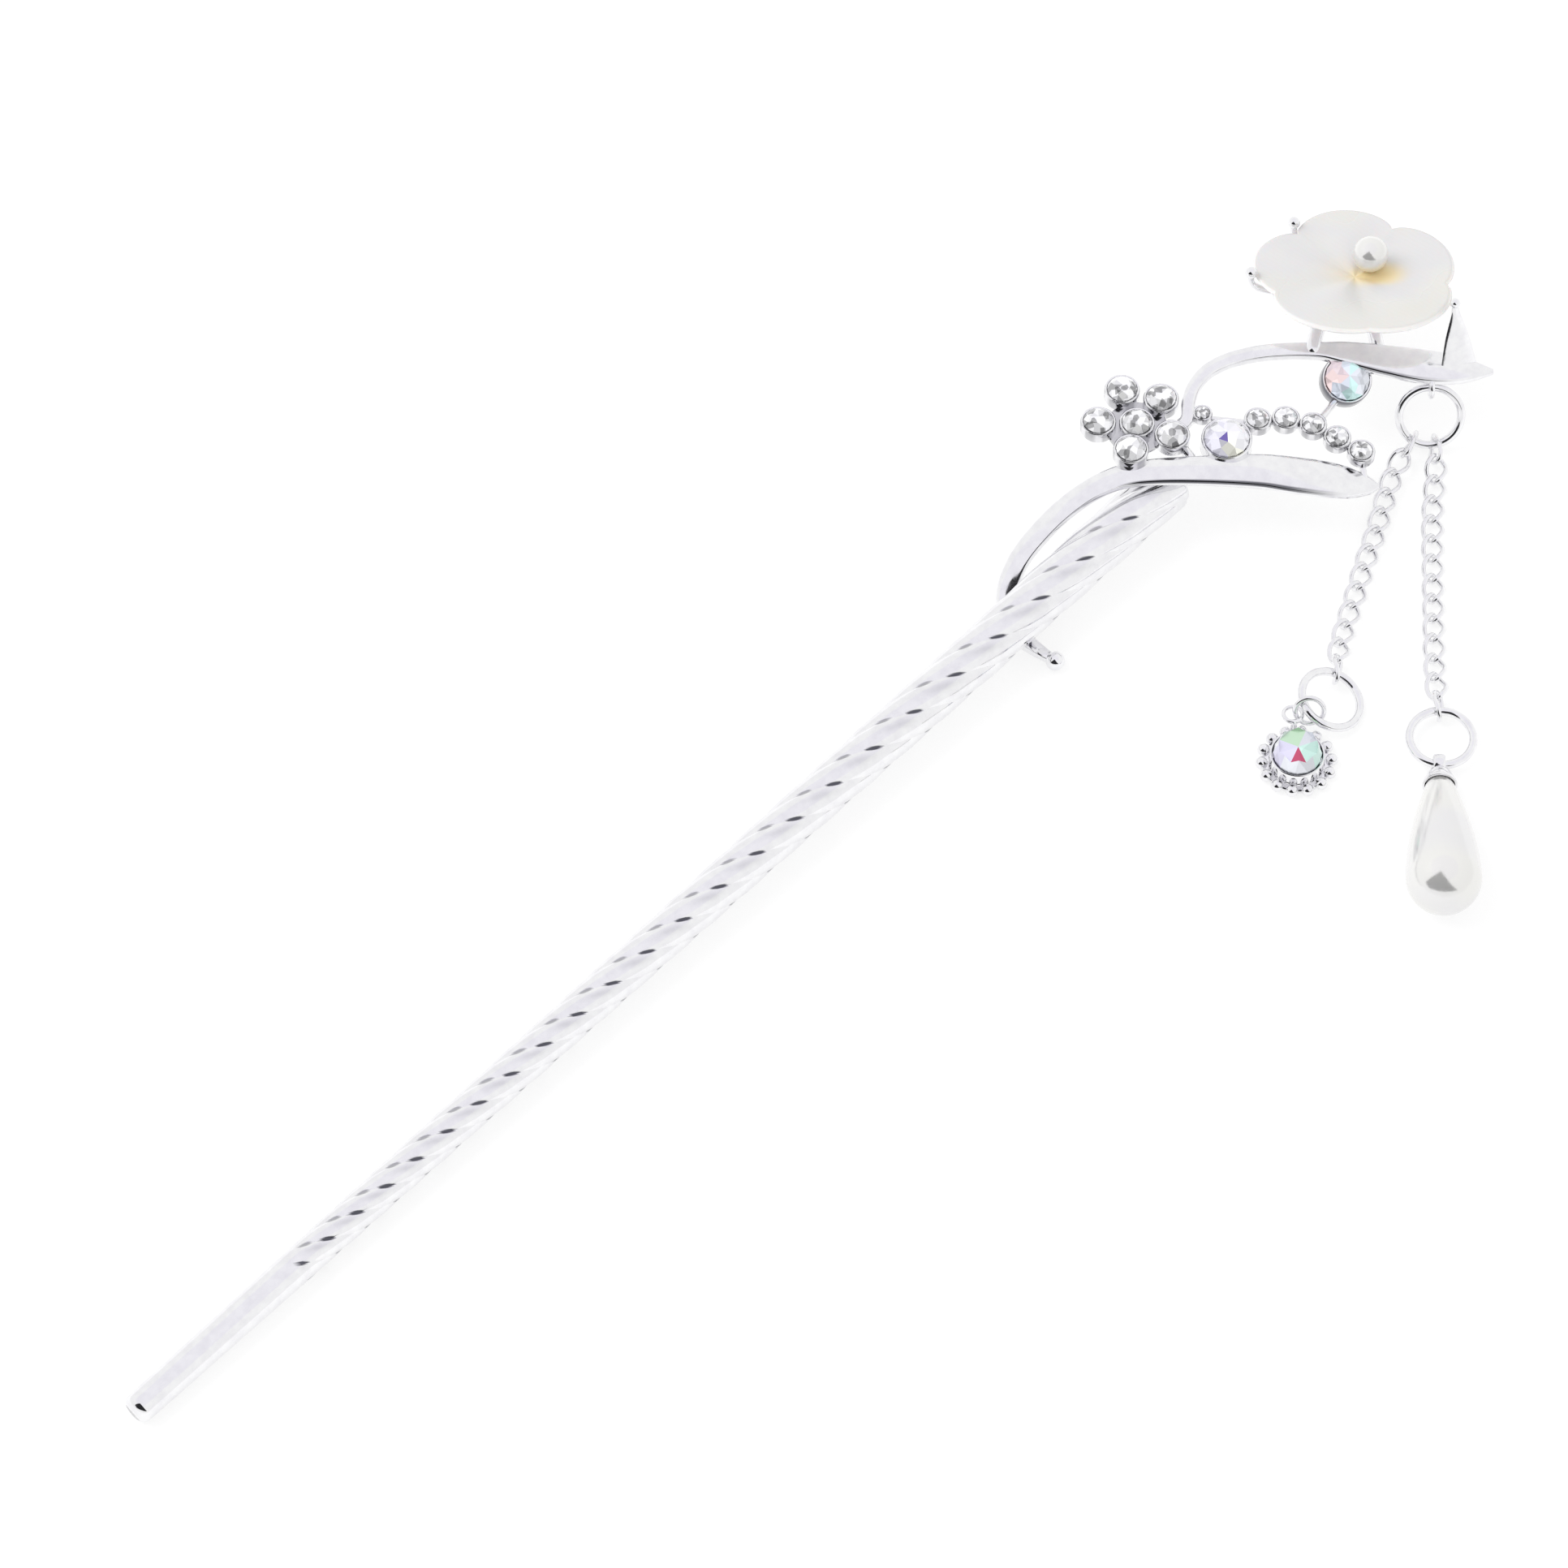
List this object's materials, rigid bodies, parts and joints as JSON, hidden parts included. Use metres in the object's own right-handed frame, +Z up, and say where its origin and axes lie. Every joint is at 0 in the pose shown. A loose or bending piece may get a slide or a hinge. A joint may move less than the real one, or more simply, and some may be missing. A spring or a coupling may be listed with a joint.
{
  "type": "ornamental hair stick",
  "caption": "Silver-toned hair stick with a twisted shank, leaf spray, cut stones, shell flower and two chain drops",
  "frame": {"origin": "Middle of the bounding box in plan, on the table that the hair stick lies on", "axes": "+X along the shank from its tip towards the ornament, +Y to the side away from the drops, +Z up from the table"},
  "size_m": [0.1876, 0.0674, 0.0141],
  "materials": {
    "silver_metal": "polished silver-toned plating with a slight wear haze",
    "clear_crystal": "clear cut glass with a foil back",
    "rainbow_crystal": "cut glass with a rainbow coating",
    "shell": "polished mother-of-pearl",
    "pearl": "milky pearl lustre"
  },
  "bodies": {
    "root": {"shank": "silver_metal", "spray": "silver_metal", "shell_flower": "shell", "flower_pearl": "pearl", "cluster_stone_1": "clear_crystal", "cluster_stone_2": "clear_crystal", "cluster_stone_3": "clear_crystal", "cluster_stone_4": "clear_crystal", "cluster_stone_5": "clear_crystal", "cluster_stone_6": "clear_crystal", "upper_leaf_stone": "rainbow_crystal", "lower_leaf_stone": "rainbow_crystal", "row_stone_1": "clear_crystal", "row_stone_2": "clear_crystal", "row_stone_3": "clear_crystal", "row_stone_4": "clear_crystal", "row_stone_5": "clear_crystal", "row_stone_6": "clear_crystal", "ring_top": "silver_metal", "ring_left": "silver_metal", "ring_right": "silver_metal", "chain_left": "silver_metal", "chain_right": "silver_metal", "pendant_link": "silver_metal", "pendant_frame": "silver_metal", "pendant_stone": "rainbow_crystal", "drop_cap": "silver_metal", "pearl_drop": "pearl"}
  },
  "joints": []
}
